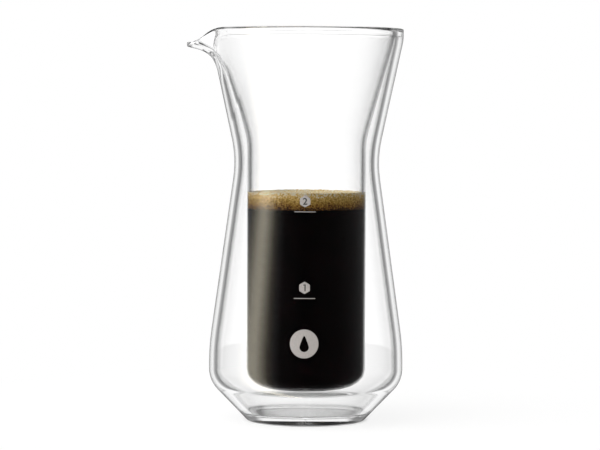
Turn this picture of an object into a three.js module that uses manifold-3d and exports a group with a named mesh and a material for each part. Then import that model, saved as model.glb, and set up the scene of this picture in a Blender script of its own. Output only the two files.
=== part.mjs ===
// A double-walled glass coffee carafe with a pulled spout, filled to its two-cup line.
// Millimetres, +Z up. The spout points along -X and the printed cup marks face -Y.
// Every piece is made round the carafe's axis. The assembly then moves towards +X, away from the spout,
// so that the origin is the middle of the carafe's outline, in the plane of its foot.
import * as THREE from "three";
import { mergeVertices } from "three/addons/utils/BufferGeometryUtils.js";
import Module from "manifold-3d";

const wasm = await Module();
wasm.setup();

// Outer form
const HEIGHT = 215;
const BODY_RADIUS = 53.3;
const RIM_UNDER_BODY = 0.5; // how much narrower than the body the rim is, on each side
const RIM_BAND = 6; // upright glass below the rim
const RIM_ROUND = 0.6;
const BAND_ROUND = 20;
const WAIST_RADIUS = 38.8; // where the two slopes would meet, before the waist is rounded
const WAIST_HEIGHT = 143.9;
const WAIST_ROUND = 63;
const SHOULDER_HEIGHT = 40.7;
const SHOULDER_ROUND = 163;
const BEVEL_HEIGHT = 21.8;
const BEVEL_ROUND = 16;

// Foot
const FOOT_RADIUS = 32.4;
const FOOT_ROUND = 2;
const FOOT_RING = 5; // flat width that stands on the table, with the foot's round
const PUNT_DEPTH = 0.2;
const PUNT_SLOPE = 10; // plan length of the slope from the foot ring up to the punt
const PUNT_ROUND = 3;

// Glass
const OUTER_WALL = 4.1;
const INNER_WALL = 2.05; // thinner towards the rim, where the walls come together
const BASE_WALL = 6.8;
const WAIST_GAP = 2; // air between the walls where the outer slopes would meet at the waist
const RIM_GAP = 0.4; // air between the walls under the rim
const FLOOR_GAP = 8.75; // air between the base and the inner vessel
const RIM_WALL = 4.2; // solid glass over the top of the air gap
const RIM_WIDTH = 5.55;
const MOUTH_BAND = 4.6; // upright glass inside the rim
const MOUTH_ROUND = 2.1;
const FUNNEL_RISE = 10; // from the waist up to where the bore widens
const FUNNEL_ROUND = 40;
const ROOF_ROUND = 0.4;
const FLOOR_ROUND = 4;
const VESSEL_ROUND = 13.5;
const WELD_GAP = 0.3; // the walls are fused here on the real carafe

// Spout, in the plane through its tip
const SPOUT_HALF_ANGLE = THREE.MathUtils.degToRad(37);
const SPOUT_TIP_ROUND = THREE.MathUtils.degToRad(11);
const SPOUT_REACH = 13.2; // from the rim's circle to the tip
const SPOUT_DROP = 8.25; // from the rim down to the middle of the tip
const SPOUT_DEPTH = 24; // height of the glass that is pulled out
const CHANNEL_RISE = 12.4; // how far that glass still follows the funnel, inside
const UNDERSIDE_RISE = 11;
const SPOUT_BEND = 0.4; // place of the bend between the funnel and the tip
const LIP_WALL = 3.5;
const LIP_START_INSIDE = 0.38; // share of the pulled curve that lies below the fused rim
const LIP_START_OUTSIDE = 0.3;
const SPOUT_DIP = 0.93; // share of the pull at which the rim has dipped all the way

// Contents
const CUP_1_HEIGHT = 70.8;
const CUP_2_HEIGHT = 116.5;
const CREMA_DEPTH = 8.8;
const CREMA_CLIMB = 0.7; // how far the foam stands up along the glass
const CREMA_EDGE = 3;
const LIQUID_GAP = 0.3;

// Printed marks
const INK = 0.2;
const INK_GAP = 0.2;
const LINE_WIDTH = 11.4;
const LINE_HEIGHT = 0.8;
const BADGE_FLATS = 6.4;
const BADGE_ROUND = 1.2;
const BADGE_RISE = 5.6; // from a line to the middle of its badge
const EMBLEM_DIAMETER = 15.2;
const EMBLEM_HEIGHT = 46.9;
const DROP_LENGTH = 8.4;
const DROP_RADIUS = 2.5;

// Facets
const AROUND = 56;
const ARC_STEP = THREE.MathUtils.degToRad(18);
const ARC_LEAST_STEPS = 2;
const MERGE = 1e-4; // vertices closer than this are one
const SPOUT_ROW = 3.2;
const LIP_ROW = 0.9;
const WELD_STRIPS = 4; // across the faces that meet at the weld
const INK_CURVE_STEPS = 10;

const point = (r, z, round = 0) => ({ r, z, round });
const vector = ({ r, z }) => new THREE.Vector2(r, z);

// Joins corners by straight runs and rounds each corner that has a radius. A round is limited by its runs.
function roundedPath(corners) {
  return corners.flatMap((corner, i) => {
    const here = vector(corner);
    if (!corner.round) return [here];
    const back = vector(corners[i - 1]).sub(here);
    const ahead = vector(corners[i + 1]).sub(here);
    const half = (Math.PI - back.angleTo(ahead)) / 2;
    const longest = 0.48 * Math.min(back.length(), ahead.length());
    const tangent = Math.min(corner.round * Math.tan(half), longest);
    const radius = tangent / Math.tan(half);
    back.normalize();
    ahead.normalize();
    const bisector = back.clone().add(ahead).normalize();
    const centre = here.clone().addScaledVector(bisector, radius / Math.cos(half));
    const start = here.clone().addScaledVector(back, tangent).sub(centre);
    const turn = 2 * half * Math.sign(ahead.cross(back));
    const steps = Math.max(ARC_LEAST_STEPS, Math.ceil((2 * half) / ARC_STEP));
    const origin = new THREE.Vector2();
    return Array.from({ length: steps + 1 }, (_, k) =>
      start.clone().rotateAround(origin, (turn * k) / steps).add(centre),
    );
  });
}

// Moves each straight run of an upward path towards the axis by a wall and meets the runs at the corners.
// The rounds keep their centres, so the wall is as thick there as elsewhere.
function insetCorners(corners, wall) {
  const runs = corners.slice(1).map((to, i) => {
    const along = vector(to).sub(vector(corners[i])).normalize();
    const inward = new THREE.Vector2(-along.y, along.x);
    return { start: vector(corners[i]).addScaledVector(inward, wall), along };
  });
  return corners.map((corner, i) => {
    const level = { start: new THREE.Vector2(0, corner.z), along: new THREE.Vector2(1, 0) };
    const below = runs[i - 1] ?? level;
    const above = runs[i] ?? level;
    const apart = above.start.clone().sub(below.start);
    const turned = below.along.cross(above.along);
    const met = below.start.clone().addScaledVector(below.along, apart.cross(above.along) / turned);
    return point(met.x, met.y, corner.round && corner.round - wall * Math.sign(turned));
  });
}

// Radius of an upward path of corners at a height, before its corners are rounded.
function radiusAt(corners, z) {
  const next = corners.findIndex((corner, i) => i > 0 && corner.z >= z);
  const to = corners.at(next);
  const from = corners.at(next > 0 ? next - 1 : -2);
  return THREE.MathUtils.mapLinear(z, from.z, to.z, from.r, to.r);
}

// Adds a point where each run of a path passes a height.
function cutAt(path, height) {
  return path.flatMap((here, i) => {
    const next = path[i + 1];
    if (!next || (here.y - height) * (next.y - height) >= 0) return [here];
    return [here, here.clone().lerp(next, (height - here.y) / (next.y - here.y))];
  });
}

// Cuts a path at every step above a height, so that the glass there can bend and its faces bend alike.
function addRows(path, above, step) {
  const rows = Math.ceil((HEIGHT - above) / step);
  const heights = Array.from({ length: rows }, (_, k) => above + k * step);
  return heights.reduce(cutAt, path);
}

// Cuts a level run into strips, so that the two faces of the weld twist alike in the spout.
const strips = (from, to, z) =>
  Array.from({ length: WELD_STRIPS + 1 }, (_, k) => point(THREE.MathUtils.lerp(from, to, k / WELD_STRIPS), z));

// Merges the seam of a geometry, drops the triangles that collapse at the axis and renews the normals.
function closed(geometry) {
  geometry.deleteAttribute("normal");
  geometry.deleteAttribute("uv");
  const merged = mergeVertices(geometry, MERGE);
  const index = merged.index.array;
  const kept = [];
  for (let i = 0; i < index.length; i += 3) {
    const [a, b, c] = [index[i], index[i + 1], index[i + 2]];
    if (a !== b && b !== c && c !== a) kept.push(a, b, c);
  }
  merged.setIndex(kept);
  merged.computeVertexNormals();
  return merged;
}

const revolve = (path) => closed(new THREE.LatheGeometry(path, AROUND).rotateX(Math.PI / 2));

function solidOf(geometry) {
  const vertProperties = geometry.attributes.position.array;
  const triVerts = new Uint32Array(geometry.index.array);
  return new wasm.Manifold(new wasm.Mesh({ numProp: 3, vertProperties, triVerts }));
}

function geometryOf(solid) {
  const mesh = solid.getMesh();
  const geometry = new THREE.BufferGeometry();
  geometry.setAttribute("position", new THREE.BufferAttribute(mesh.vertProperties, 3));
  geometry.setIndex(new THREE.BufferAttribute(mesh.triVerts, 1));
  geometry.computeVertexNormals();
  return geometry;
}

// The faces of the glass, as upward paths
const rimRadius = BODY_RADIUS - RIM_UNDER_BODY;
const weldHeight = HEIGHT - RIM_WALL - WELD_GAP;
const roofHeight = HEIGHT - RIM_WALL;
const outside = [
  point(FOOT_RADIUS, 0),
  point(BODY_RADIUS, BEVEL_HEIGHT, BEVEL_ROUND),
  point(BODY_RADIUS, SHOULDER_HEIGHT, SHOULDER_ROUND),
  point(WAIST_RADIUS, WAIST_HEIGHT, WAIST_ROUND),
  point(rimRadius, HEIGHT - RIM_BAND, BAND_ROUND),
  point(rimRadius, HEIGHT),
];
const jacket = insetCorners(outside, OUTER_WALL);
const jacketWaist = jacket[3];

const floorHeight = PUNT_DEPTH + BASE_WALL;
const vesselBottom = floorHeight + FLOOR_GAP;
const boreBottom = vesselBottom + INNER_WALL;
const boreRadius = jacketWaist.r - WAIST_GAP - INNER_WALL;
const mouthRadius = rimRadius - RIM_WIDTH;
const funnelStart = jacketWaist.z + FUNNEL_RISE;
const bore = [
  point(boreRadius, boreBottom),
  point(boreRadius, funnelStart, FUNNEL_ROUND),
  point(mouthRadius, HEIGHT - MOUTH_BAND, BAND_ROUND),
  point(mouthRadius, HEIGHT),
];
const vessel = [
  point(boreRadius + INNER_WALL, vesselBottom),
  point(boreRadius + INNER_WALL, funnelStart, FUNNEL_ROUND),
  point(radiusAt(jacket, roofHeight) - RIM_GAP, roofHeight),
];

// The pulled curves of the spout, along the inside and the outside of the glass
const spoutStart = HEIGHT - SPOUT_DEPTH;
function pulledCurve(corners, rise, tipHeight) {
  const start = new THREE.Vector2(radiusAt(corners, spoutStart), spoutStart);
  const followed = spoutStart + rise;
  const lift = new THREE.Vector2(radiusAt(corners, followed), followed);
  const tip = new THREE.Vector2(rimRadius + SPOUT_REACH, tipHeight);
  return new THREE.CubicBezierCurve(start, lift, lift.clone().lerp(tip, SPOUT_BEND), tip);
}
const tipMiddle = HEIGHT - SPOUT_DROP;
const channel = pulledCurve(bore, CHANNEL_RISE, tipMiddle + LIP_WALL / 2);
const underside = pulledCurve(outside, UNDERSIDE_RISE, tipMiddle - LIP_WALL / 2);

// Share of the spout's pull at an angle from its tip: the rim runs straight from its circle to a round tip.
function pullAt(angle) {
  const soften = (a) => Math.hypot(a, SPOUT_TIP_ROUND) - SPOUT_TIP_ROUND;
  const turned = (SPOUT_HALF_ANGLE * soften(angle)) / soften(SPOUT_HALF_ANGLE);
  const reach = (a) => 1 / Math.cos(a) - 1;
  return reach(SPOUT_HALF_ANGLE - turned) / reach(SPOUT_HALF_ANGLE);
}

// Pulls the spout out of a revolved wall, as a glassblower does with the hot rim.
function pullSpout(geometry) {
  const position = geometry.attributes.position;
  const lipStart = (roofHeight - spoutStart) / SPOUT_DEPTH;
  const along = (share, start) =>
    share < lipStart
      ? (share / lipStart) * start
      : THREE.MathUtils.mapLinear(share, lipStart, 1, start, 1);
  for (let i = 0; i < position.count; i += 1) {
    const [x, y, z] = [position.getX(i), position.getY(i), position.getZ(i)];
    const angle = Math.abs(Math.atan2(y, -x));
    if (z <= spoutStart || angle >= SPOUT_HALF_ANGLE) continue;
    const radius = Math.hypot(x, y);
    const share = Math.min(1, (z - spoutStart) / SPOUT_DEPTH);
    const across = THREE.MathUtils.mapLinear(radius, radiusAt(bore, z), radiusAt(outside, z), 0, 1);
    const pulled = channel
      .getPoint(along(share, LIP_START_INSIDE))
      .lerp(underside.getPoint(along(share, LIP_START_OUTSIDE)), THREE.MathUtils.clamp(across, 0, 1));
    const pull = pullAt(angle);
    const grown = THREE.MathUtils.lerp(radius, pulled.x, pull) / radius;
    const dip = THREE.MathUtils.smoothstep(pull, 0, SPOUT_DIP);
    position.setXYZ(i, x * grown, y * grown, THREE.MathUtils.lerp(z, pulled.y, dip));
  }
  geometry.computeVertexNormals();
  return geometry;
}

// The outer wall, from the punt round the foot and up to the weld, and back down its inner face
function outerWall() {
  const footRing = FOOT_RADIUS - FOOT_RING;
  const foot = [
    point(0, PUNT_DEPTH),
    point(footRing - PUNT_SLOPE, PUNT_DEPTH, PUNT_ROUND),
    point(footRing, 0, PUNT_ROUND),
    point(FOOT_RADIUS, 0, FOOT_ROUND),
  ];
  const inside = [
    point(0, floorHeight),
    point(radiusAt(jacket, floorHeight), floorHeight, FLOOR_ROUND),
    ...jacket.slice(1, -1),
  ];
  const weld = strips(radiusAt(outside, weldHeight), radiusAt(jacket, weldHeight), weldHeight);
  const loop = [...foot, ...outside.slice(1, -1), ...weld, ...inside.reverse()];
  return pullSpout(revolve(addRows(roundedPath(loop), spoutStart, SPOUT_ROW)));
}

// The inner vessel, up its outer face to the roof of the air gap, over the rim and back down the bore
function innerWall() {
  const [lowest, funnel, highest] = vessel;
  const below = roundedPath([
    point(0, vesselBottom),
    point(lowest.r, vesselBottom, VESSEL_ROUND),
    funnel,
    point(highest.r, roofHeight, ROOF_ROUND),
    ...strips(highest.r + ROOF_ROUND, rimRadius, roofHeight),
  ]);
  const above = roundedPath([
    point(rimRadius, roofHeight),
    point(rimRadius, HEIGHT, RIM_ROUND),
    point(mouthRadius, HEIGHT, MOUTH_ROUND),
    ...bore.slice(1, -1).reverse(),
    point(boreRadius, boreBottom, Math.max(VESSEL_ROUND - INNER_WALL, 0)),
    point(0, boreBottom),
  ]);
  const rows = [
    ...addRows(below, spoutStart, SPOUT_ROW),
    ...addRows(addRows(above, spoutStart, SPOUT_ROW), roofHeight, LIP_ROW).slice(1),
  ];
  return pullSpout(revolve(rows));
}

// The contents
function coffeeBody() {
  const bottom = boreBottom + LIQUID_GAP;
  const side = boreRadius - LIQUID_GAP;
  return revolve(
    roundedPath([
      point(0, bottom),
      point(side, bottom, Math.max(VESSEL_ROUND - INNER_WALL - LIQUID_GAP, 0)),
      point(side, CUP_2_HEIGHT),
      point(0, CUP_2_HEIGHT),
    ]),
  );
}

function cremaBody() {
  const bottom = CUP_2_HEIGHT + LIQUID_GAP;
  const top = CUP_2_HEIGHT + CREMA_DEPTH;
  const side = boreRadius - LIQUID_GAP;
  return revolve(
    roundedPath([
      point(0, bottom),
      point(side, bottom),
      point(side, top + CREMA_CLIMB),
      point(side - CREMA_EDGE, top, CREMA_EDGE),
      point(0, top),
    ]),
  );
}

// A skin of ink round the body, from which each mark is cut so that it follows the glass
function inkSkin() {
  const rows = roundedPath(outside).filter(({ y }) => y >= BEVEL_HEIGHT && y <= WAIST_HEIGHT);
  const moved = (by) => rows.map(({ x, y }) => new THREE.Vector2(x + by, y));
  const near = moved(INK_GAP).reverse();
  const far = moved(INK_GAP + INK);
  return solidOf(revolve([...far, ...near, far[0]]));
}
const skin = inkSkin();

function inkMark(shape, height) {
  const prism = new THREE.ExtrudeGeometry(shape, {
    depth: 2 * BODY_RADIUS,
    bevelEnabled: false,
    curveSegments: INK_CURVE_STEPS,
  });
  const cutter = closed(prism.rotateX(Math.PI / 2).translate(0, 0, height));
  return geometryOf(skin.intersect(solidOf(cutter)));
}

function lineShape() {
  const [x, y] = [LINE_WIDTH / 2, LINE_HEIGHT / 2];
  const corners = [[-x, -y], [x, -y], [x, y], [-x, y]];
  return new THREE.Shape(corners.map(([u, v]) => new THREE.Vector2(u, v)));
}

function hexagonShape() {
  const sides = 6;
  const corner = BADGE_FLATS / 2 / Math.cos(Math.PI / sides);
  const share = (BADGE_ROUND * Math.tan(Math.PI / sides)) / corner;
  const corners = Array.from({ length: sides }, (_, k) => {
    const angle = Math.PI / 2 + (2 * Math.PI * k) / sides;
    return new THREE.Vector2(corner * Math.cos(angle), corner * Math.sin(angle));
  });
  const shape = new THREE.Shape();
  corners.forEach((here, k) => {
    const start = here.clone().lerp(corners.at(k - 1), share);
    const end = here.clone().lerp(corners[(k + 1) % sides], share);
    if (k === 0) shape.moveTo(start.x, start.y);
    else shape.lineTo(start.x, start.y);
    shape.quadraticCurveTo(here.x, here.y, end.x, end.y);
  });
  shape.closePath();
  return shape;
}

function emblemShape() {
  const shape = new THREE.Shape().absarc(0, 0, EMBLEM_DIAMETER / 2, 0, 2 * Math.PI);
  const top = DROP_LENGTH / 2;
  const low = DROP_RADIUS - DROP_LENGTH / 2;
  const bulge = low + DROP_RADIUS;
  const drop = new THREE.Path().moveTo(0, top);
  drop.quadraticCurveTo(-DROP_RADIUS, bulge, -DROP_RADIUS, low);
  drop.absarc(0, low, DROP_RADIUS, Math.PI, 2 * Math.PI);
  drop.quadraticCurveTo(DROP_RADIUS, bulge, 0, top);
  shape.holes.push(drop);
  return shape;
}

// Finishes
const finish = (color, roughness, extra = {}) =>
  new THREE.MeshStandardMaterial({ color, roughness, metalness: 0, ...extra });
const GLASS = finish(0xeef4f3, 0.03, { transparent: true, opacity: 0.35 });
const COFFEE = finish(0x130806, 0.15);
const CREMA = finish(0xa98b5e, 0.8);
const ENAMEL = finish(0xb3aaa2, 0.5);

function named(name, geometry, material) {
  const mesh = new THREE.Mesh(geometry, material);
  mesh.name = name;
  return mesh;
}

// The assembly
const glass = new THREE.Group();
glass.add(named("outer_wall", outerWall(), GLASS), named("inner_wall", innerWall(), GLASS));

const contents = new THREE.Group();
contents.add(named("coffee", coffeeBody(), COFFEE), named("crema", cremaBody(), CREMA));

const prints = new THREE.Group();
[CUP_1_HEIGHT, CUP_2_HEIGHT].forEach((height, i) => {
  const cup = i + 1;
  prints.add(
    named(`cup_line_${cup}`, inkMark(lineShape(), height), ENAMEL),
    named(`cup_badge_${cup}`, inkMark(hexagonShape(), height + BADGE_RISE), ENAMEL),
  );
});
prints.add(named("plain_emblem", inkMark(emblemShape(), EMBLEM_HEIGHT), ENAMEL));

const onAxis = new THREE.Group();
onAxis.add(glass, contents, prints);
onAxis.position.x = (rimRadius + SPOUT_REACH - BODY_RADIUS) / 2;

const carafe = new THREE.Group();
carafe.add(onAxis);

export default carafe;
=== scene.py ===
"""A double-walled glass coffee carafe with a pulled spout, filled to its two-cup line.

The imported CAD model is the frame. Every piece is made again here as the real one looks: the two glass
walls fused at the rim, the coffee wetting the glass, a bubbly crema and printed cup marks with numbers.
"""

import logging
import math
from dataclasses import dataclass, field
from enum import Enum

import bmesh
import bpy
from mathutils import Matrix, Vector, noise


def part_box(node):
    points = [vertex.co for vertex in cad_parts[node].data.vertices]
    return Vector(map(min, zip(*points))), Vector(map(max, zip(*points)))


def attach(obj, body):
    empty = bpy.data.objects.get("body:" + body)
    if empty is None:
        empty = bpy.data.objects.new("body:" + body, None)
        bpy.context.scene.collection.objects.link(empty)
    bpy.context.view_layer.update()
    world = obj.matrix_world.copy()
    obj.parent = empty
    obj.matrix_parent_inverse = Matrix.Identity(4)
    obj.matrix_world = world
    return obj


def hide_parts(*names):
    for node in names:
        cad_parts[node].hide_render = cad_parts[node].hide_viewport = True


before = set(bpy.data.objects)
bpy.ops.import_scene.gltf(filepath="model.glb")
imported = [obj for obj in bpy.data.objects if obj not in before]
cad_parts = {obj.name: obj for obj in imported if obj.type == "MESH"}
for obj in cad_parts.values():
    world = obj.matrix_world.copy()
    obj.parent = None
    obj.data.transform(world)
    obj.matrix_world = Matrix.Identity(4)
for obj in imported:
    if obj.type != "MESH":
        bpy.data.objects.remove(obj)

LOG = logging.getLogger("carafe")
MM = 0.001
BODY = "root"

WHITE = "#ffffff"

# The photograph's frame, in pixels
IMAGE_WIDTH = 600

ARC_STEP = math.radians(4)
ARC_LEAST_STEPS = 3
# How far a corner's round may reach along the shorter run beside it
ROUND_SHARE = 0.48
# Vertices closer than this are one
MERGE = 1e-7

# Light path depths that tell a path with no bounce of a kind, or with one, from a path with more
NO_BOUNCE = 0.5
ONE_BOUNCE = 1.5

# The colour sockets of a Mix node, by number because its value sockets have the same names
MIX_FAILED = 6
MIX_PASSED = 7
MIX_COLOUR = 2


class Slot(Enum):
    """The record's material slots."""

    GLASS = "glass"
    COFFEE = "coffee"
    CREMA = "crema"
    ENAMEL = "enamel"


def linear(hex_colour: str) -> tuple[float, float, float, float]:
    """Turns an sRGB hex colour into linear light.

    Args:
        hex_colour: Six hex digits after a number sign.

    Returns:
        Red, green, blue and a full alpha.
    """
    parts = [int(hex_colour[i : i + 2], 16) / 255 for i in (1, 3, 5)]
    light = [p / 12.92 if p <= 0.04045 else ((p + 0.055) / 1.055) ** 2.4 for p in parts]
    return (*light, 1.0)


def per_mm(size: float) -> float:
    """Gives the texture scale at which a pattern repeats about every size millimetres."""
    return 1 / (size * MM)


def set_values(node: bpy.types.Node, values: dict) -> None:
    """Sets a node's input sockets, by their names or numbers."""
    for socket, value in values.items():
        node.inputs[socket].default_value = value


def add_node(
    tree: bpy.types.NodeTree,
    kind: str,
    links: dict | None = None,
    values: dict | None = None,
    **settings: object,
) -> bpy.types.Node:
    """Adds a node with its settings, its socket values and its links.

    Args:
        tree: The node tree that gets the node.
        kind: The node's type name.
        links: Output sockets by the name or number of the input that they feed.
        values: Values by the name or number of the input that they set.
        settings: The node's own properties.

    Returns:
        The new node.
    """
    node = tree.nodes.new(kind)
    for name, value in settings.items():
        setattr(node, name, value)
    set_values(node, values or {})
    for socket, source in (links or {}).items():
        tree.links.new(source, node.inputs[socket])
    return node


def set_ramp(node: bpy.types.Node, stops: dict[float, tuple]) -> None:
    """Sets the stops of a colour ramp.

    Args:
        node: The ramp.
        stops: Linear colours by their place from 0 to 1, in rising order.
    """
    elements = node.color_ramp.elements
    while len(elements) < len(stops):
        elements.new(1.0)
    for element, (place, colour) in zip(elements, stops.items()):
        element.position = place
        element.color = colour


def new_material(
    name: str,
) -> tuple[bpy.types.Material, bpy.types.NodeTree, bpy.types.Node, bpy.types.NodeSocket]:
    """Starts a material.

    Args:
        name: The material's name.

    Returns:
        The material, its node tree, its principled shader and the object coordinates.
    """
    material = bpy.data.materials.new(name)
    material.use_nodes = True
    tree = material.node_tree
    place = add_node(tree, "ShaderNodeTexCoord")
    return material, tree, tree.nodes["Principled BSDF"], place.outputs["Object"]


@dataclass(frozen=True)
class BorosilicateGlass:
    """Blown borosilicate: colourless and fire polished, with a faint wave from the mould and a painted
    grey shade on its edges where they are seen at a graze.

    The drawn-out spout is thin and bends light less, so the lines in it stay fine.
    """

    spout_tip: tuple[float, float, float]
    # The grey that the glass's colour turns to at a graze: a painted shade that draws its dark outline
    edge: str = "#3a403f"
    edge_start: float = 0.7
    wave_mm: float = 26.0
    wave_depth_mm: float = 0.02
    ior: float = 1.47
    thin_ior: float = 1.13
    thin_near_mm: float = 28.0
    thin_far_mm: float = 50.0
    gloss: float = 0.35

    def make(self) -> bpy.types.Material:
        """Builds the glass, whose colour is painted darker where the eye meets its faces at a graze, a
        painted shade that draws its outline.

        Returns:
            The glass.
        """
        material, tree, shader, point = new_material("borosilicate_glass_blown")
        # Painted shade: the colour goes from white to grey where a face is seen at a graze, which draws
        # the dark outline of the glass
        facing = add_node(tree, "ShaderNodeLayerWeight", values={"Blend": 0.5})
        ramp = add_node(tree, "ShaderNodeValToRGB", {"Fac": facing.outputs["Facing"]})
        set_ramp(ramp, {self.edge_start: linear(WHITE), 1.0: linear(self.edge)})
        tree.links.new(ramp.outputs["Color"], shader.inputs["Base Color"])
        wave = add_node(
            tree, "ShaderNodeTexNoise", {"Vector": point}, {"Scale": per_mm(self.wave_mm), "Detail": 1.0}
        )
        bump = add_node(
            tree,
            "ShaderNodeBump",
            {"Height": wave.outputs["Fac"]},
            {"Strength": 1.0, "Distance": self.wave_depth_mm * MM},
        )
        tree.links.new(bump.outputs["Normal"], shader.inputs["Normal"])
        from_tip = add_node(
            tree, "ShaderNodeVectorMath", {0: point}, {1: self.spout_tip}, operation="DISTANCE"
        )
        bend = add_node(
            tree,
            "ShaderNodeMapRange",
            {"Value": from_tip.outputs["Value"]},
            {
                "From Min": self.thin_near_mm * MM,
                "From Max": self.thin_far_mm * MM,
                "To Min": self.thin_ior,
                "To Max": self.ior,
            },
        )
        # An export keeps the socket's own IOR, which is right for all but the spout
        set_values(
            shader,
            {
                "IOR": self.ior,
                "Roughness": 0.0,
                "Specular Tint": (self.gloss, self.gloss, self.gloss, 1.0),
                "Transmission Weight": 1.0,
            },
        )
        tree.links.new(bend.outputs["Result"], shader.inputs["IOR"])
        return material


@dataclass(frozen=True)
class BrewedCoffee:
    """Filter coffee: almost black in this depth, red-brown only where some light enters it."""

    deep: str = "#0a0203"
    deep_at: float = 0.4
    warm: str = "#140405"
    warm_at: float = 0.75
    cloud_mm: float = 14.0
    roughness: float = 0.25
    ior: float = 1.33
    specular: float = 0.05

    def make(self) -> bpy.types.Material:
        """Builds the liquid, which has little gloss of its own because it wets the glass.

        Returns:
            The coffee.
        """
        material, tree, shader, point = new_material("brewed_coffee_black")
        cloud = add_node(
            tree, "ShaderNodeTexNoise", {"Vector": point}, {"Scale": per_mm(self.cloud_mm), "Detail": 2.0}
        )
        ramp = add_node(tree, "ShaderNodeValToRGB", {"Fac": cloud.outputs["Fac"]})
        set_ramp(ramp, {self.deep_at: linear(self.deep), self.warm_at: linear(self.warm)})
        tree.links.new(ramp.outputs["Color"], shader.inputs["Base Color"])
        set_values(
            shader,
            {"Roughness": self.roughness, "IOR": self.ior, "Specular IOR Level": self.specular},
        )
        return material


@dataclass(frozen=True)
class CremaFoam:
    """Coffee foam: pale and fine bubbled on top, browner and wetter towards the coffee it drains into."""

    low: float
    high: float
    # From the wet foam at the bottom to the pale top
    colours: dict[float, str] = field(
        default_factory=lambda: {
            0.0: "#4f2f0a",
            0.26: "#9f7029",
            0.6: "#d2a850",
            0.92: "#fcd985",
            1.0: "#fff4d8",
        }
    )
    bubble_mm: float = 1.6
    bubble_depth_mm: float = 0.2
    bubble_strength: float = 0.6
    froth_mm: float = 0.9
    grain: float = 1.4
    drift_mm: float = 9.0
    drift: float = 0.16
    roughness: float = 0.55
    specular: float = 0.3

    def make(self) -> bpy.types.Material:
        """Builds the foam, with its colour by height and the grain of its bubbles.

        Returns:
            The foam.
        """
        material, tree, shader, point = new_material("crema_foam_fine")
        axes = add_node(tree, "ShaderNodeSeparateXYZ", {"Vector": point})
        height = add_node(
            tree,
            "ShaderNodeMapRange",
            {"Value": axes.outputs["Z"]},
            {"From Min": self.low, "From Max": self.high},
        )
        mixed = height.outputs["Result"]
        # A slow drift of the colour and the fine grain of the froth, both about their middle
        for size, detail, weight in ((self.drift_mm, 3.0, self.drift), (self.froth_mm, 1.0, self.grain)):
            blotch = add_node(
                tree, "ShaderNodeTexNoise", {"Vector": point}, {"Scale": per_mm(size), "Detail": detail}
            )
            mixed = add_node(
                tree,
                "ShaderNodeMath",
                {0: blotch.outputs["Fac"], 2: mixed},
                {1: weight},
                operation="MULTIPLY_ADD",
            ).outputs["Value"]
        centred = add_node(
            tree, "ShaderNodeMath", {0: mixed}, {1: (self.grain + self.drift) / 2}, operation="SUBTRACT"
        )
        ramp = add_node(tree, "ShaderNodeValToRGB", {"Fac": centred.outputs["Value"]})
        set_ramp(ramp, {stop: linear(colour) for stop, colour in self.colours.items()})
        tree.links.new(ramp.outputs["Color"], shader.inputs["Base Color"])
        bubble = add_node(
            tree, "ShaderNodeTexVoronoi", {"Vector": point}, {"Scale": per_mm(self.bubble_mm)}
        )
        bump = add_node(
            tree,
            "ShaderNodeBump",
            {"Height": bubble.outputs["Distance"]},
            {"Strength": self.bubble_strength, "Distance": self.bubble_depth_mm * MM},
            invert=True,
        )
        tree.links.new(bump.outputs["Normal"], shader.inputs["Normal"])
        set_values(shader, {"Roughness": self.roughness, "Specular IOR Level": self.specular})
        return material


@dataclass(frozen=True)
class FiredEnamel:
    """Screen-printed enamel fired onto the glass: a thin even film with the faint grain of the screen."""

    name: str = "enamel_print_grey"
    ink: str = "#9b9693"
    ink_at: float = 0.65
    thin: str = "#908b88"
    thin_at: float = 0.35
    grain_mm: float = 0.5
    roughness: float = 0.5
    specular: float = 0.3

    def make(self) -> bpy.types.Material:
        """Builds the print, a little uneven as screened ink is.

        Returns:
            The enamel.
        """
        material, tree, shader, point = new_material(self.name)
        grain = add_node(
            tree, "ShaderNodeTexNoise", {"Vector": point}, {"Scale": per_mm(self.grain_mm), "Detail": 1.0}
        )
        ramp = add_node(tree, "ShaderNodeValToRGB", {"Fac": grain.outputs["Fac"]})
        set_ramp(ramp, {self.thin_at: linear(self.thin), self.ink_at: linear(self.ink)})
        tree.links.new(ramp.outputs["Color"], shader.inputs["Base Color"])
        set_values(shader, {"Roughness": self.roughness, "Specular IOR Level": self.specular})
        return material


@dataclass(frozen=True)
class Corner:
    """A corner of a turned section: its distance from the axis, its height and its round, in metres."""

    r: float
    z: float
    round: float = 0.0

    @property
    def point(self) -> Vector:
        """The corner as a flat vector."""
        return Vector((self.r, self.z))


def inset(corners: list[Corner], wall: float) -> list[Corner]:
    """Moves each run of an upward path towards the axis and meets the runs at the corners again.

    The rounds keep their centres, so the wall is as thick there as elsewhere.

    Args:
        corners: The path, from low to high.
        wall: How far each run moves, in metres.

    Returns:
        The moved path, whose ends keep their heights.
    """
    runs = []
    for start, end in zip(corners, corners[1:]):
        along = (end.point - start.point).normalized()
        runs.append((start.point + wall * Vector((-along.y, along.x)), along))
    moved = []
    for i, corner in enumerate(corners):
        level = (Vector((0, corner.z)), Vector((1, 0)))
        below = runs[i - 1] if i else level
        above = runs[i] if i < len(runs) else level
        turned = below[1].cross(above[1])
        met = below[0] + (above[0] - below[0]).cross(above[1]) / turned * below[1]
        smaller = math.copysign(wall, turned) if corner.round else 0.0
        moved.append(Corner(met.x, met.y, corner.round - smaller))
    return moved


def radius_at(corners: list[Corner], z: float) -> float:
    """Gives the radius of an upward path at a height, before its corners are rounded.

    Args:
        corners: The path, from low to high.
        z: The height in metres. Past the path's top its last run goes on.

    Returns:
        The radius in metres.
    """
    pairs = list(zip(corners, corners[1:]))
    low, high = next((pair for pair in pairs if pair[1].z >= z), pairs[-1])
    return low.r + (high.r - low.r) * (z - low.z) / (high.z - low.z)


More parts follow.
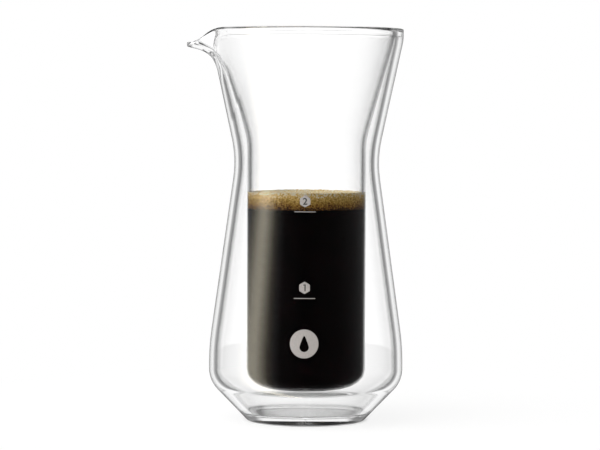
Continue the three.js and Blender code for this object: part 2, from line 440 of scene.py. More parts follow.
def fit_round(before: Corner, corner: Corner, after: Corner) -> tuple[float, float]:
    """Fits a corner's round between its neighbours.

    Args:
        before: The corner that the path comes from.
        corner: The corner that is rounded.
        after: The corner that the path goes to.

    Returns:
        Half the angle that the path turns there, and how far the round reaches along both runs.
    """
    back = before.point - corner.point
    ahead = after.point - corner.point
    half = (math.pi - back.angle(ahead)) / 2
    return half, min(corner.round * math.tan(half), ROUND_SHARE * min(back.length, ahead.length))


def draw_section(bm: bmesh.types.BMesh, corners: list[Corner]) -> None:
    """Draws a section as a chain of edges in the XZ plane, with its rounds swept about their centres.

    Args:
        bm: The mesh that gets the chain.
        corners: The section's corners in order. A round is limited by the runs beside it.
    """

    def line_to(last: bmesh.types.BMVert, point: Vector) -> bmesh.types.BMVert:
        """Extrudes a straight run from the chain's end.

        Args:
            last: The chain's end.
            point: The flat point that the run goes to.

        Returns:
            The new end.
        """
        vert = bmesh.ops.extrude_vert_indiv(bm, verts=[last])["verts"][0]
        vert.co = (point.x, 0, point.y)
        return vert

    last = bm.verts.new((corners[0].r, 0, corners[0].z))
    for before, corner, after in zip(corners, corners[1:], corners[2:]):
        if not corner.round:
            last = line_to(last, corner.point)
            continue
        half, tangent = fit_round(before, corner, after)
        back = (before.point - corner.point).normalized()
        ahead = (after.point - corner.point).normalized()
        radius = tangent / math.tan(half)
        centre = corner.point + (back + ahead).normalized() * radius / math.cos(half)
        last = line_to(last, corner.point + back * tangent)
        swept = bmesh.ops.spin(
            bm,
            geom=[last],
            cent=(centre.x, 0, centre.y),
            axis=(0, 1, 0),
            angle=-2 * half * math.copysign(1, ahead.cross(back)),
            steps=max(ARC_LEAST_STEPS, math.ceil(2 * half / ARC_STEP)),
        )
        last = next(item for item in swept["geom_last"] if isinstance(item, bmesh.types.BMVert))
    line_to(last, corners[-1].point)


def add_rows(bm: bmesh.types.BMesh, longest: float, above: float = -math.inf) -> None:
    """Cuts the long edges of a chain into rows.

    Args:
        bm: The mesh that holds the chain.
        longest: The longest edge that is left, in metres.
        above: The height over which edges are cut.
    """
    for edge in [e for e in bm.edges if min(v.co.z for v in e.verts) > above]:
        cuts = math.ceil(edge.calc_length() / longest) - 1
        if cuts > 0:
            bmesh.ops.subdivide_edges(bm, edges=[edge], cuts=cuts)


def turn(bm: bmesh.types.BMesh, steps: int) -> None:
    """Spins a chain of edges once round the Z axis and closes the seam and the poles.

    Args:
        bm: The mesh that holds the chain.
        steps: Facets round the axis.
    """
    bmesh.ops.spin(
        bm,
        geom=bm.verts[:] + bm.edges[:],
        cent=(0, 0, 0),
        axis=(0, 0, 1),
        angle=2 * math.pi,
        steps=steps,
        use_merge=True,
    )
    bmesh.ops.remove_doubles(bm, verts=bm.verts[:], dist=MERGE)
    bmesh.ops.recalc_face_normals(bm, faces=bm.faces[:])


def finish_piece(
    bm: bmesh.types.BMesh,
    name: str,
    material: bpy.types.Material,
    nodes: list[str],
) -> bpy.types.Object:
    """Makes an object of a mesh that is in place and hangs it on the frame.

    Args:
        bm: The mesh, in metres in the CAD's frame. It is freed.
        name: The piece's name.
        material: Its finish.
        nodes: The CAD nodes that the piece stands for.

    Returns:
        The finished piece.
    """
    mesh = bpy.data.meshes.new(name)
    bm.to_mesh(mesh)
    bm.free()
    mesh.materials.append(material)
    mesh.shade_smooth()
    piece = bpy.data.objects.new(name, mesh)
    bpy.context.scene.collection.objects.link(piece)
    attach(piece, BODY)
    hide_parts(*nodes)
    LOG.info("%s: %d faces", name, len(mesh.polygons))
    return piece


@dataclass
class Spout:
    """The spout that is pulled out of the hot rim, in the plane through its tip."""

    half_angle: float = math.radians(37)
    tip_round: float = math.radians(11)
    reach: float = 13.2 * MM
    drop: float = 8.25 * MM
    depth: float = 24 * MM
    rise_inside: float = 12.4 * MM
    rise_outside: float = 11 * MM
    bend: float = 0.4
    lip: float = 3.5 * MM
    start_inside: float = 0.38
    start_outside: float = 0.3
    dip: float = 0.93

    def tip(self, glass: "CarafeGlass") -> Vector:
        """Gives the flat middle of the spout's tip, as its distance from the axis and its height."""
        return Vector((glass.rim_radius + self.reach, glass.height - self.drop))

    def pull_share(self, angle: float) -> float:
        """Gives the share of the pull for straight rims that meet in a round tip.

        Args:
            angle: The angle from the tip about the carafe's axis.

        Returns:
            The share, from 0 at the half angle to 1 at the tip.
        """

        def soften(a: float) -> float:
            """Rounds the tip of an angle."""
            return math.hypot(a, self.tip_round) - self.tip_round

        def secant(a: float) -> float:
            """Gives how far a straight rim stands outside its circle."""
            return 1 / math.cos(a) - 1

        turned = self.half_angle * soften(angle) / soften(self.half_angle)
        return secant(self.half_angle - turned) / secant(self.half_angle)

    def pulled_point(
        self, corners: list[Corner], rise: float, tip: Vector, start: float, t: float
    ) -> Vector:
        """Gives a point of a pulled curve.

        Args:
            corners: The face of the glass that the curve leaves.
            rise: How far the curve still follows that face.
            tip: The curve's end.
            start: The height where the pull starts.
            t: Place along the curve, from 0 to 1.

        Returns:
            The flat point on a cubic curve that first follows the funnel and then bends to the tip.
        """
        low = Vector((radius_at(corners, start), start))
        lift = Vector((radius_at(corners, start + rise), start + rise))
        bend = lift.lerp(tip, self.bend)
        first, middle, last = low.lerp(lift, t), lift.lerp(bend, t), bend.lerp(tip, t)
        return first.lerp(middle, t).lerp(middle.lerp(last, t), t)

    def pull(self, bm: bmesh.types.BMesh, glass: "CarafeGlass") -> None:
        """Pulls the spout out of the turned glass, as a glassblower does with the hot rim.

        Args:
            bm: The turned glass, on its own axis.
            glass: The sizes of that glass.
        """
        start = glass.height - self.depth
        lip_start = (glass.roof_height - start) / self.depth
        tip = self.tip(glass)
        half_lip = Vector((0, self.lip / 2))

        def along(share: float, below: float) -> float:
            """Maps a share of the pulled height to a place on the pulled curve.

            Args:
                share: The share of the pulled height.
                below: The place on the curve where the fused lip starts.

            Returns:
                The place, from 0 to 1.
            """
            if share < lip_start:
                return share / lip_start * below
            return below + (share - lip_start) / (1 - lip_start) * (1 - below)

        for vert in bm.verts:
            x, y, z = vert.co
            angle = abs(math.atan2(y, -x))
            if z <= start or angle >= self.half_angle:
                continue
            radius = math.hypot(x, y)
            share = min(1.0, (z - start) / self.depth)
            inner, outer = radius_at(glass.bore, z), radius_at(glass.outside, z)
            across = min(1.0, max(0.0, (radius - inner) / (outer - inner)))
            channel = self.pulled_point(
                glass.bore, self.rise_inside, tip + half_lip, start, along(share, self.start_inside)
            )
            under = self.pulled_point(
                glass.outside, self.rise_outside, tip - half_lip, start, along(share, self.start_outside)
            )
            pulled = channel.lerp(under, across)
            pull = self.pull_share(angle)
            grown = 1 + pull * (pulled.x / radius - 1)
            dipped = min(1.0, pull / self.dip)
            vert.co = (x * grown, y * grown, z + (pulled.y - z) * dipped**2 * (3 - 2 * dipped))


@dataclass
class CarafeGlass:
    """The double-walled glass: an outer hourglass and an inner vessel, fused at the rim."""

    axis: float
    height: float
    rim_radius: float
    body_radius: float
    rim_band: float = 6 * MM
    rim_round: float = 0.6 * MM
    rim_width: float = 5.55 * MM
    mouth_band: float = 4.6 * MM
    mouth_round: float = 2.1 * MM
    band_round: float = 20 * MM
    waist_radius: float = 38.8 * MM
    waist_height: float = 143.9 * MM
    waist_round: float = 63 * MM
    shoulder_height: float = 40.7 * MM
    shoulder_round: float = 163 * MM
    bevel_height: float = 21.8 * MM
    bevel_round: float = 16 * MM
    funnel_rise: float = 10 * MM
    funnel_round: float = 40 * MM
    foot_radius: float = 32.4 * MM
    foot_round: float = 2 * MM
    foot_ring: float = 5 * MM
    punt_depth: float = 0.2 * MM
    punt_slope: float = 10 * MM
    punt_round: float = 3 * MM
    pinhole: float = 0.04 * MM
    pinhole_ring: float = 0.12 * MM
    outer_wall: float = 4.1 * MM
    inner_wall: float = 2.05 * MM
    base_wall: float = 5.6 * MM
    waist_gap: float = 2 * MM
    rim_gap: float = 0.4 * MM
    floor_gap: float = 9.95 * MM
    rim_wall: float = 4.2 * MM
    floor_round: float = 4 * MM
    vessel_round: float = 13.5 * MM
    around: int = 168
    row: float = 4 * MM
    lip_row: float = 0.8 * MM

    def __post_init__(self) -> None:
        """Works out the faces of the glass from its sizes."""
        self.roof_height = self.height - self.rim_wall
        self.floor_height = self.punt_depth + self.base_wall
        self.vessel_bottom = self.floor_height + self.floor_gap
        self.bore_bottom = self.vessel_bottom + self.inner_wall
        self.outside = [
            Corner(self.foot_radius, 0),
            Corner(self.body_radius, self.bevel_height, self.bevel_round),
            Corner(self.body_radius, self.shoulder_height, self.shoulder_round),
            Corner(self.waist_radius, self.waist_height, self.waist_round),
            Corner(self.rim_radius, self.height - self.rim_band, self.band_round),
            Corner(self.rim_radius, self.height),
        ]
        self.jacket = inset(self.outside, self.outer_wall)
        waist = self.jacket[3]
        self.bore_radius = waist.r - self.waist_gap - self.inner_wall
        self.mouth_radius = self.rim_radius - self.rim_width
        funnel = waist.z + self.funnel_rise
        self.bore = [
            Corner(self.bore_radius, self.bore_bottom),
            Corner(self.bore_radius, funnel, self.funnel_round),
            Corner(self.mouth_radius, self.height - self.mouth_band, self.band_round),
            Corner(self.mouth_radius, self.height),
        ]
        self.roof = radius_at(self.jacket, self.roof_height)
        self.vessel = [
            Corner(self.bore_radius + self.inner_wall, self.vessel_bottom, self.vessel_round),
            Corner(self.bore_radius + self.inner_wall, funnel, self.funnel_round),
            Corner(self.roof - self.rim_gap, self.roof_height, self.rim_gap / 2),
        ]

    def section(self) -> list[Corner]:
        """Gives the whole section as one chain, from the axis in the bore to the axis under the vessel.

        The vent that the glassblower melts shut stays open as a pinhole in the punt, so that the chain is
        whole. A ring close round it keeps the base flat to the eye.

        Returns:
            The corners in order.
        """
        ring = self.foot_radius - self.foot_ring
        floor_edge = radius_at(self.jacket, self.floor_height)
        return [
            Corner(0, self.bore_bottom),
            Corner(self.bore_radius, self.bore_bottom, self.vessel_round - self.inner_wall),
            *self.bore[1:-1],
            Corner(self.mouth_radius, self.height, self.mouth_round),
            Corner(self.rim_radius, self.height, self.rim_round),
            *reversed(self.outside[1:-1]),
            Corner(self.foot_radius, 0, self.foot_round),
            Corner(ring, 0, self.punt_round),
            Corner(ring - self.punt_slope, self.punt_depth, self.punt_round),
            Corner(self.pinhole_ring, self.punt_depth),
            Corner(self.pinhole, self.punt_depth),
            Corner(self.pinhole, self.floor_height),
            Corner(self.pinhole_ring, self.floor_height),
            Corner(floor_edge, self.floor_height, self.floor_round),
            *self.jacket[1:-1],
            Corner(self.roof, self.roof_height, self.rim_gap / 2),
            *reversed(self.vessel),
            Corner(0, self.vessel_bottom),
        ]

    def build(self, spout: Spout, finish: BorosilicateGlass) -> bpy.types.Object:
        """Turns the glass, pulls its spout and sets it on its axis.

        Args:
            spout: The spout's sizes.
            finish: The glass.

        Returns:
            The fused glass of both walls.
        """
        bm = bmesh.new()
        draw_section(bm, self.section())
        add_rows(bm, self.row)
        add_rows(bm, self.lip_row, above=self.height - spout.depth)
        turn(bm, self.around)
        spout.pull(bm, self)
        bmesh.ops.translate(bm, verts=bm.verts[:], vec=(self.axis, 0, 0))
        return finish_piece(bm, "carafe_glass", finish.make(), ["outer_wall", "inner_wall"])


@dataclass
class Brew:
    """The coffee and the crema on it. Both wet the glass, so they reach a hair into it."""

    level: float
    wet: float = 0.03 * MM
    crema_depth: float = 8.8 * MM
    crema_climb: float = 0.7 * MM
    crema_edge: float = 3 * MM
    bubble: float = 1.5 * MM
    froth: float = 0.7 * MM
    bubble_rise: float = 0.5 * MM
    froth_rise: float = 0.2 * MM
    bubble_reach: float = 0.75
    around: int = 128
    crema_around: int = 256
    row: float = 4 * MM
    crema_row: float = 0.45 * MM

    def build_coffee(self, glass: CarafeGlass, finish: BrewedCoffee) -> bpy.types.Object:
        """Fills the bore with coffee up to the two-cup line.

        Args:
            glass: The glass that holds it.
            finish: The liquid.

        Returns:
            The coffee.
        """
        side = glass.bore_radius + self.wet
        bottom = glass.bore_bottom - self.wet
        bm = bmesh.new()
        draw_section(
            bm,
            [
                Corner(0, bottom),
                Corner(side, bottom, glass.vessel_round - glass.inner_wall + self.wet),
                Corner(side, self.level),
                Corner(0, self.level),
            ],
        )
        add_rows(bm, self.row)
        turn(bm, self.around)
        bmesh.ops.translate(bm, verts=bm.verts[:], vec=(glass.axis, 0, 0))
        return finish_piece(bm, "brewed_coffee", finish.make(), ["coffee"])

    def bubble_height(self, point: Vector, size: float) -> float:
        """Gives the height of a layer of round bubbles at a point, from 0 between them to 1 on top."""
        distance = noise.voronoi(point / size)[0][0]
        return math.sqrt(max(0.0, 1 - (distance / self.bubble_reach) ** 2))

    def build_crema(self, glass: CarafeGlass) -> bpy.types.Object:
        """Lays the foam on the coffee, flat against the glass and bubbled on top.

        Args:
            glass: The glass that holds it.

        Returns:
            The crema.
        """
        side = glass.bore_radius + self.wet
        low = self.level - self.wet
        high = self.level + self.crema_depth
        bm = bmesh.new()
        draw_section(
            bm,
            [
                Corner(side, low),
                Corner(side, high + self.crema_climb, self.crema_climb / 2),
                Corner(side - self.crema_edge, high, self.crema_edge),
                Corner(0, high),
            ],
        )
        add_rows(bm, self.crema_row)
        turn(bm, self.crema_around)
        bmesh.ops.holes_fill(bm, edges=[e for e in bm.edges if e.is_boundary], sides=0)
        bmesh.ops.recalc_face_normals(bm, faces=bm.faces[:])
        bm.normal_update()
        for vert in bm.verts:
            if vert.co.z <= low + MERGE:
                continue
            rise = self.bubble_rise * (self.bubble_height(vert.co, self.bubble) - 1)
            rise += self.froth_rise * (self.bubble_height(vert.co, self.froth) - 1)
            vert.co.z += max(0.0, vert.normal.z) * rise
        bmesh.ops.translate(bm, verts=bm.verts[:], vec=(glass.axis, 0, 0))
        finish = CremaFoam(low=low, high=high)
        return finish_piece(bm, "crema_foam", finish.make(), ["crema"])


@dataclass
class CupMarks:
    """The prints on the outer glass: a line and a numbered badge for each cup, and a plain emblem."""

    cup_heights: tuple[float, float]
    emblem_height: float
    line_width: float = 11.4 * MM
    line_height: float = 0.38 * MM
    badge_sides: int = 6
    badge_flats: float = 5.65 * MM
    badge_round: float = 0.25 * MM
    badge_rise: float = 5.6 * MM
    number_size: float = 5.0 * MM
    number_bold: float = 0.1 * MM
    number_flag: float = 0.55 * MM
    number_flag_fall: float = 0.1375 * MM
    emblem_diameter: float = 15.2 * MM
    drop_length: float = 8.4 * MM
    drop_radius: float = 2.5 * MM
    drop_taper: float = 0.55
    lift: float = 0.02 * MM
    film: float = 0.04 * MM
    bend_step: float = 0.8 * MM
    round_steps: int = 8
    circle_steps: int = 96

    def wrap(self, bm: bmesh.types.BMesh, glass: CarafeGlass, height: float) -> None:
        """Lays a flat mark round the front of the glass and gives it the film's thickness.

        Args:
            bm: The mark, flat in XY about its middle.
            glass: The glass that carries it.
            height: The height of its middle.
        """
        for axis in (Vector((1, 0, 0)), Vector((0, 1, 0))):
            cuts = math.ceil(max(abs(v.co.dot(axis)) for v in bm.verts) / self.bend_step)
            for k in range(1 - cuts, cuts):
                bmesh.ops.bisect_plane(
                    bm,
                    geom=bm.verts[:] + bm.edges[:] + bm.faces[:],
                    plane_co=k * self.bend_step * axis,
                    plane_no=axis,
                    dist=self.lift,
                )
        for vert in bm.verts:
            z = height + vert.co.y
            radius = self.glass_radius(glass, z) + self.lift
            angle = vert.co.x / radius
            vert.co = (glass.axis + radius * math.sin(angle), -radius * math.cos(angle), z)
        bmesh.ops.recalc_face_normals(bm, faces=bm.faces[:])
        inward = [f for f in bm.faces if f.normal.y > 0]
        bmesh.ops.reverse_faces(bm, faces=inward)
        # The film grows outwards, which leaves its faces inside out
        bmesh.ops.solidify(bm, geom=bm.faces[:], thickness=-self.film)
        bmesh.ops.reverse_faces(bm, faces=bm.faces[:])

    def glass_radius(self, glass: CarafeGlass, z: float) -> float:
        """Gives the outer radius of the glass at a height, with the shoulder's round counted in.

        Args:
            glass: The glass.
            z: The height, between the bevel and the waist.

        Returns:
            The radius in metres.
        """
        shoulder = glass.outside[2]
        half, tangent = fit_round(*glass.outside[1:4])
        bend = tangent / math.tan(half)
        past = max(0.0, z - shoulder.z + tangent)
        if past < bend * math.sin(2 * half):
            return shoulder.r - bend + math.sqrt(bend**2 - past**2)
        return radius_at(glass.outside, z)

    def print_mark(
        self,
        bm: bmesh.types.BMesh,
        node: str,
        height: float,
        glass: CarafeGlass,
        ink: bpy.types.Material,
    ) -> bpy.types.Object:
        """Lays a flat mark on the glass and makes it a piece.

        Args:
            bm: The flat mark.
            node: The CAD node that it stands for.
            height: The height of its middle.
            glass: The glass that carries it.
            ink: The enamel.

        Returns:
            The printed mark.
        """
        self.wrap(bm, glass, height)
        piece = finish_piece(bm, f"{node}_print", ink, [node])
        piece.data.shade_flat()
        return piece

    def line(self) -> bmesh.types.BMesh:
        """Draws the bar of a cup line.

        Returns:
            The flat bar.
        """
        bm = bmesh.new()
        bmesh.ops.create_grid(bm, x_segments=1, y_segments=1, size=0.5)
        bmesh.ops.scale(bm, verts=bm.verts[:], vec=(self.line_width, self.line_height, 1))
        return bm

    def badge(self, number: str) -> bmesh.types.BMesh:
        """Draws a flat hexagon with rounded corners round a number of the second ink.

        Args:
            number: The cup number.

        Returns:
            The flat badge.
        """
        letter = bpy.data.curves.new("cup_number", "FONT")
        letter.body = number
        letter.size = self.number_size
        letter.offset = self.number_bold
        letter.align_x = "CENTER"
        letter.resolution_u = self.round_steps
        holder = bpy.data.objects.new("cup_number", letter)
        bpy.context.scene.collection.objects.link(holder)
        flat = bpy.data.meshes.new_from_object(holder)
        bm = bmesh.new()
        bm.from_mesh(flat)
        bpy.data.objects.remove(holder)
        bpy.data.meshes.remove(flat)
        bmesh.ops.remove_doubles(bm, verts=bm.verts[:], dist=MERGE)
        if number == "1":
            self.add_flag(bm)
        low = Vector(min(v.co[i] for v in bm.verts) for i in range(3))
        high = Vector(max(v.co[i] for v in bm.verts) for i in range(3))
        bmesh.ops.translate(bm, verts=bm.verts[:], vec=-(low + high) / 2)
        for face in bm.faces:
            face.material_index = 1
        strokes = [e for e in bm.edges if e.is_boundary]
        corner = self.badge_flats / 2 / math.cos(math.pi / self.badge_sides)
        ring = bmesh.ops.create_circle(bm, segments=self.badge_sides, radius=corner)["verts"]
        bmesh.ops.bevel(
            bm,
            geom=ring,
            offset=self.badge_round,
            offset_type="OFFSET",
            segments=self.round_steps,
            profile=0.5,
            affect="VERTICES",
            material=-1,
        )
        border = [e for e in bm.edges if not e.link_faces]
        bmesh.ops.triangle_fill(bm, edges=strokes + border, use_beauty=True)
        return bm

    def add_flag(self, bm: bmesh.types.BMesh) -> None:
        """Pulls a flag out of the top of the font's figure one, which is a plain bar.

        Args:
            bm: The flat figure.
        """
        left = min(v.co.x for v in bm.verts)
        low = max(v.co.y for v in bm.verts) - self.number_flag
        bmesh.ops.bisect_plane(
            bm,
            geom=bm.verts[:] + bm.edges[:] + bm.faces[:],
            plane_co=(0, low, 0),
            plane_no=(0, 1, 0),
        )
        beside = {v for v in bm.verts if v.co.x < left + MERGE and v.co.y > low - MERGE}
        side = [e for e in bm.edges if beside.issuperset(e.verts)]
        pulled = bmesh.ops.extrude_edge_only(bm, edges=side)
        ends = [item for item in pulled["geom"] if isinstance(item, bmesh.types.BMVert)]
        bmesh.ops.translate(bm, verts=ends, vec=(-self.number_flag, -self.number_flag_fall, 0))

    def emblem(self) -> bmesh.types.BMesh:
        """Draws a disc with a plain drop cut out of it.

        Returns:
            The flat disc.
        """
        bm = bmesh.new()
        drop = bmesh.ops.create_circle(bm, segments=self.circle_steps, radius=self.drop_radius)["verts"]
        top = self.drop_length - self.drop_radius
        for vert in drop:
            if vert.co.y > 0:
                share = vert.co.y / self.drop_radius
                vert.co.x *= 1 - self.drop_taper * share
                vert.co.y = share * top
        middle = (top - self.drop_radius) / 2
        bmesh.ops.translate(bm, verts=drop, vec=(0, -middle, 0))
        bmesh.ops.create_circle(bm, segments=self.circle_steps, radius=self.emblem_diameter / 2)
        bmesh.ops.triangle_fill(bm, edges=bm.edges[:], use_beauty=True)
        return bm

    def build(
        self, glass: CarafeGlass, finish: FiredEnamel, numbers: FiredEnamel
    ) -> list[bpy.types.Object]:
        """Prints every mark on the glass.

        Args:
            glass: The glass that carries them.
            finish: The enamel of the shapes.
            numbers: The enamel of the numbers in them.

        Returns:
            The printed marks.
        """
        ink = finish.make()
        dark = numbers.make()
        prints = []
        for cup, height in enumerate(self.cup_heights, start=1):
            prints.append(self.print_mark(self.line(), f"cup_line_{cup}", height, glass, ink))
            middle = height + self.badge_rise
            badge = self.print_mark(self.badge(str(cup)), f"cup_badge_{cup}", middle, glass, ink)
            badge.data.materials.append(dark)
            prints.append(badge)
        prints.append(self.print_mark(self.emblem(), "plain_emblem", self.emblem_height, glass, ink))
        return prints


@dataclass
class Studio:
    """The pale floor, the soft light and the camera of a product photograph.

    The tables give the light of a room by the bearing from straight ahead, in degrees to the right.
    """

    axis: float
    floor_radius: float = 0.45
    floor_facets: int = 96
    floor_colour: str = "#f2f2f0"
    floor_roughness: float = 0.9
    distance: float = 1.29
    eye_height: float = 174 * MM
    aim_height: float = 107.3 * MM
    axis_right_px: float = 6.35
    orbit: float = math.radians(1.1)
    pixel: float = 0.55 * MM
    roll: float = math.radians(0.27)
    sensor_mm: float = 36.0
    near: float = 0.05
    lamp_width: float = 0.5
    lamp_height: float = 0.9
    lamp_watts: float = 1.5
    lamp_bearing: float = math.radians(118)
    lamp_distance: float = 0.9
    lamp_rise: float = 0.5
    lamp_aim: float = 0.1
    bounces: int = 64
    clear_bounces: int = 16
    soft_box: str = "#fff7e0"
    mirrored: dict[float, float] = field(
        default_factory=lambda: {
            -180: 0.03,
            -150: 0.15,
            -142: 0.85,
            -135: 2.4,
            -126: 9.4,
            -120: 14.8,
            -115: 14.8,
            -110: 13.2,
            -104: 7.8,
            -101: 5.4,
            -96: 2.9,
            -90: 1.0,
            -84: 0.7,
            -18: 0.7,
            -10: 0.1,
            10: 0.1,
            18: 0.7,
            60: 0.4,
            120: 0.22,
            140: 0.1,
            180: 0.03,
        }
    )
    # The same on both sides
    turned: dict[float, float] = field(
        default_factory=lambda: {
            26: 1.0,
            33: 0.25,
            41: 0.15,
            50: 0.1,
            65: 0.1,
            85: 0.05,
            110: 0.02,
            180: 0.02,
        }
    )
    strips: dict[float, float] = field(
        default_factory=lambda: {
            -14: 1.0,
            -11: 0.1,
            -7: 0.1,
            -5.5: 1.0,
            5.5: 1.0,
            7: 0.2,
            11: 0.2,
            14: 1.0,
        }
    )
    scattered: dict[float, float] = field(
        default_factory=lambda: {
            -180: 0.46,
            -165: 0.74,
            -140: 1.85,
            -100: 1.85,
            -80: 0.62,
            -30: 0.22,
            150: 0.22,
            180: 0.46,
        }
    )
    # How white the floor looks by the distance from the carafe's axis, in metres
    floor_white: dict[float, float] = field(
        default_factory=lambda: {0.0: 0.0, 0.03: 0.0, 0.034: 0.88, 0.25: 1.0}
    )
    through_glass: float = 1.14
    backdrop_top: tuple[float, float] = (0.2, 0.4)
    dark_above: float = 0.1
    ceiling_edge: tuple[float, float] = (0.1, 0.6)
    ceiling: float = 2.4

    def set_view(self) -> None:
        """Sets the plain colour transform and enough bounces for glass behind glass."""
        scene = bpy.context.scene
        scene.view_settings.view_transform = "Standard"
        scene.cycles.max_bounces = self.bounces
        scene.cycles.transmission_bounces = self.bounces
        scene.cycles.glossy_bounces = self.bounces
        scene.cycles.transparent_max_bounces = self.clear_bounces

    def build_world(self) -> None:
        """Makes the white background and the rooms that mirrored, turned and scattered light sees.

        The outer face mirrors dark walls and a tall soft box. Light that turned inside the glass meets a
        white backdrop between dark flags, and where it turned only once, also the narrow dark strips that
        draw the outline of the glass. Matt surfaces are lit from the side of the soft box.
        """
        world = bpy.data.worlds.new("studio")
        bpy.context.scene.world = world
        world.use_nodes = True
        tree = world.node_tree
        path = add_node(tree, "ShaderNodeLightPath")
        place = add_node(tree, "ShaderNodeTexCoord")
        axes = add_node(tree, "ShaderNodeSeparateXYZ", {"Vector": place.outputs["Generated"]})
        across = add_node(
            tree,
            "ShaderNodeMath",
            {0: axes.outputs["X"], 1: axes.outputs["Y"]},
            operation="ARCTAN2",
        )
        bearing = add_node(
            tree,
            "ShaderNodeMapRange",
            {"Value": across.outputs["Value"]},
            {"From Min": -math.pi, "From Max": math.pi},
        )
        both_sides = {side * angle: level for side in (-1, 1) for angle, level in self.turned.items()}
        rooms = []
        for levels, colour in (
            (self.mirrored, self.soft_box),
            ({**both_sides, **self.strips}, WHITE),
            (both_sides, WHITE),
            (self.scattered, WHITE),
        ):
            ramp = add_node(tree, "ShaderNodeValToRGB", {"Fac": bearing.outputs["Result"]})
            self.set_bearings(ramp, levels, colour)
            rooms.append(ramp.outputs["Color"])
        mirrored, once, often, scattered = rooms
        tests = []
        for depth, past in (
            ("Transmission Depth", NO_BOUNCE),
            ("Diffuse Depth", NO_BOUNCE),
            ("Glossy Depth", NO_BOUNCE),
            ("Glossy Depth", ONE_BOUNCE),
        ):
            test = add_node(
                tree, "ShaderNodeMath", {0: path.outputs[depth]}, {1: past}, operation="GREATER_THAN"
            )
            tests.append(test.outputs["Value"])
        entered, bounced, reflected, again = tests
        turned = add_node(
            tree, "ShaderNodeMix", {"Factor": again, MIX_FAILED: once, MIX_PASSED: often}, data_type="RGBA"
        ).outputs[MIX_COLOUR]
        # Light that turned upwards looks past the backdrop, and the ceiling softly lights matt things
        graded = []
        for light, (start, end), level_above in (
            (turned, self.backdrop_top, self.dark_above),
            (scattered, self.ceiling_edge, self.ceiling),
        ):
            level = add_node(
                tree,
                "ShaderNodeMapRange",
                {"Value": axes.outputs["Z"]},
                {"From Min": start, "From Max": end, "To Min": 1.0, "To Max": level_above},
            )
            links = {0: light, "Scale": level.outputs["Result"]}
            graded.append(add_node(tree, "ShaderNodeVectorMath", links, operation="SCALE"))
        turned, scattered = (node.outputs["Vector"] for node in graded)
        # The backdrop is lit until it stays white behind all the faces of the glass
        backdrop = add_node(
            tree, "ShaderNodeMapRange", {"Value": entered}, {"To Min": 1.0, "To Max": self.through_glass}
        ).outputs["Result"]
        room = add_node(
            tree,
            "ShaderNodeMix",
            {"Factor": entered, MIX_FAILED: mirrored, MIX_PASSED: turned},
            data_type="RGBA",
        ).outputs[MIX_COLOUR]
        seen = add_node(
            tree,
            "ShaderNodeMix",
            {"Factor": reflected, MIX_FAILED: backdrop, MIX_PASSED: room},
            data_type="RGBA",
        ).outputs[MIX_COLOUR]
        lit = add_node(
            tree,
            "ShaderNodeMix",
            {"Factor": bounced, MIX_FAILED: seen, MIX_PASSED: scattered},
            data_type="RGBA",
        ).outputs[MIX_COLOUR]
        tree.links.new(lit, tree.nodes["Background"].inputs["Color"])

    def set_bearings(self, node: bpy.types.Node, levels: dict[float, float], colour: str) -> None:
        """Sets a ramp's stops by bearing.

        Args:
            node: The ramp.
            levels: Light by the bearing from straight ahead, in degrees to the right.
            colour: The colour of what is brighter than white paper.
        """
        stops = {}
        for angle, level in sorted(levels.items()):
            shade = linear(colour if level > 1 else WHITE)
            stops[angle / 360 + 0.5] = (*(level * part for part in shade[:3]), 1.0)
        set_ramp(node, stops)

    def build_lamp(self) -> None:
        """Hangs the key light, a soft box at the front left that reflections see as part of the room."""
        light = bpy.data.lights.new("key_soft_box", "AREA")
        light.shape = "RECTANGLE"
        light.size = self.lamp_width
        light.size_y = self.lamp_height
        light.energy = self.lamp_watts
        lamp = bpy.data.objects.new("key_soft_box", light)
        left = self.lamp_distance * math.sin(self.lamp_bearing)
        back = self.lamp_distance * math.cos(self.lamp_bearing)
        lamp.location = (-left, back, self.lamp_rise)
        aim = Vector((self.axis, 0, self.lamp_aim)) - lamp.location
        lamp.rotation_euler = aim.to_track_quat("-Z", "Y").to_euler()
        lamp.visible_glossy = False
        lamp.visible_transmission = False
        bpy.context.scene.collection.objects.link(lamp)

    def build_floor(self) -> None:
        """Lays a pale round floor that fades into the white background and keeps the shadow."""
        bm = bmesh.new()
        bmesh.ops.create_circle(bm, cap_ends=True, segments=self.floor_facets, radius=self.floor_radius)
        mesh = bpy.data.meshes.new("floor")
        bm.to_mesh(mesh)
        bm.free()
        floor = bpy.data.objects.new("floor", mesh)
        bpy.context.scene.collection.objects.link(floor)
        material, tree, shader, point = new_material("floor_paint_white")
        set_values(
            shader,
            {
                "Base Color": linear(self.floor_colour),
                "Roughness": self.floor_roughness,
                "Specular IOR Level": 0.0,
            },
        )
        path = add_node(tree, "ShaderNodeLightPath")
        from_axis = add_node(
            tree, "ShaderNodeVectorMath", {0: point}, {1: (self.axis, 0, 0)}, operation="DISTANCE"
        )
        # The floor stays in the shadow under the foot and fades to white from there
        fade = add_node(tree, "ShaderNodeValToRGB", {"Fac": from_axis.outputs["Value"]})
        set_ramp(fade, {radius: (level, level, level, 1.0) for radius, level in self.floor_white.items()})
        seen = add_node(
            tree,
            "ShaderNodeMath",
            {0: path.outputs["Is Camera Ray"], 1: path.outputs["Is Transmission Ray"]},
            operation="MAXIMUM",
        )
        share = add_node(
            tree,
            "ShaderNodeMath",
            {0: seen.outputs["Value"], 1: fade.outputs["Color"]},
            operation="MULTIPLY",
        )
        white = add_node(tree, "ShaderNodeEmission", values={"Color": linear(WHITE), "Strength": 1.0})
        shown = add_node(
            tree,
            "ShaderNodeMixShader",
            {0: share.outputs["Value"], 1: shader.outputs["BSDF"], 2: white.outputs["Emission"]},
        )
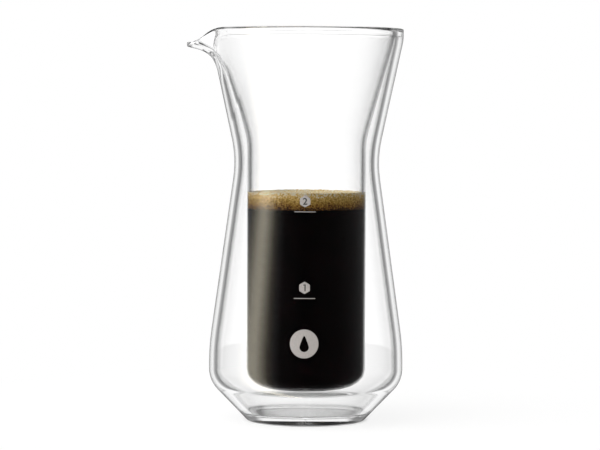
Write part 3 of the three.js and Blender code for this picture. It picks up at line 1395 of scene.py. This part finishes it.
        # Reflections look through the floor into the room, as on a table of clear glass
        clear = add_node(tree, "ShaderNodeBsdfTransparent")
        reflected = add_node(
            tree,
            "ShaderNodeMath",
            {0: path.outputs["Glossy Depth"]},
            {1: NO_BOUNCE},
            operation="GREATER_THAN",
        )
        mixed = add_node(
            tree,
            "ShaderNodeMixShader",
            {0: reflected.outputs["Value"], 1: shown.outputs["Shader"], 2: clear.outputs["BSDF"]},
        )
        tree.links.new(mixed.outputs["Shader"], tree.nodes["Material Output"].inputs["Surface"])
        mesh.materials.append(material)

    def build_camera(self) -> None:
        """Stands the camera where the photograph was taken from."""
        lens = bpy.data.cameras.new("camera")
        lens.sensor_width = self.sensor_mm
        lens.lens = self.sensor_mm * self.distance / (IMAGE_WIDTH * self.pixel)
        lens.clip_start = self.near
        camera = bpy.data.objects.new("camera", lens)
        turned = Matrix.Rotation(self.orbit, 3, "Z")
        foot = Vector((self.axis, 0, 0)) - turned @ Vector((self.axis_right_px * self.pixel, 0, 0))
        camera.location = foot + turned @ Vector((0, -self.distance, self.eye_height))
        aim = foot + Vector((0, 0, self.aim_height)) - camera.location
        facing = aim.to_track_quat("-Z", "Y").to_matrix() @ Matrix.Rotation(self.roll, 3, "Z")
        camera.rotation_euler = facing.to_euler()
        bpy.context.scene.collection.objects.link(camera)
        bpy.context.scene.camera = camera

    def build(self) -> None:
        """Sets up the whole studio."""
        self.set_view()
        self.build_world()
        self.build_lamp()
        self.build_floor()
        self.build_camera()


def middle_height(node: str) -> float:
    """Gives the height of the middle of a CAD node."""
    low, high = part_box(node)
    return (low.z + high.z) / 2


def main() -> None:
    """Builds the carafe piece by piece in its studio."""
    logging.basicConfig(level=logging.INFO, format="%(message)s")
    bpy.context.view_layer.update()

    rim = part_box("inner_wall")[1]
    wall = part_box("outer_wall")[1]
    coffee_low, coffee_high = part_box("coffee")
    axis = (coffee_low.x + coffee_high.x) / 2
    glass = CarafeGlass(axis=axis, height=rim.z, rim_radius=rim.y, body_radius=wall.y)
    Studio(axis=axis).build()
    spout = Spout()
    tip = spout.tip(glass)
    glass.build(spout, BorosilicateGlass(spout_tip=(axis - tip.x, 0.0, tip.y)))
    brew = Brew(level=coffee_high.z)
    brew.build_coffee(glass, BrewedCoffee())
    brew.build_crema(glass)
    marks = CupMarks(
        cup_heights=(middle_height("cup_line_1"), middle_height("cup_line_2")),
        emblem_height=middle_height("plain_emblem"),
    )
    numbers = FiredEnamel(name="enamel_print_dark", ink="#343231", thin="#2b2928")
    marks.build(glass, FiredEnamel(), numbers)


if __name__ == "__main__":
    main()
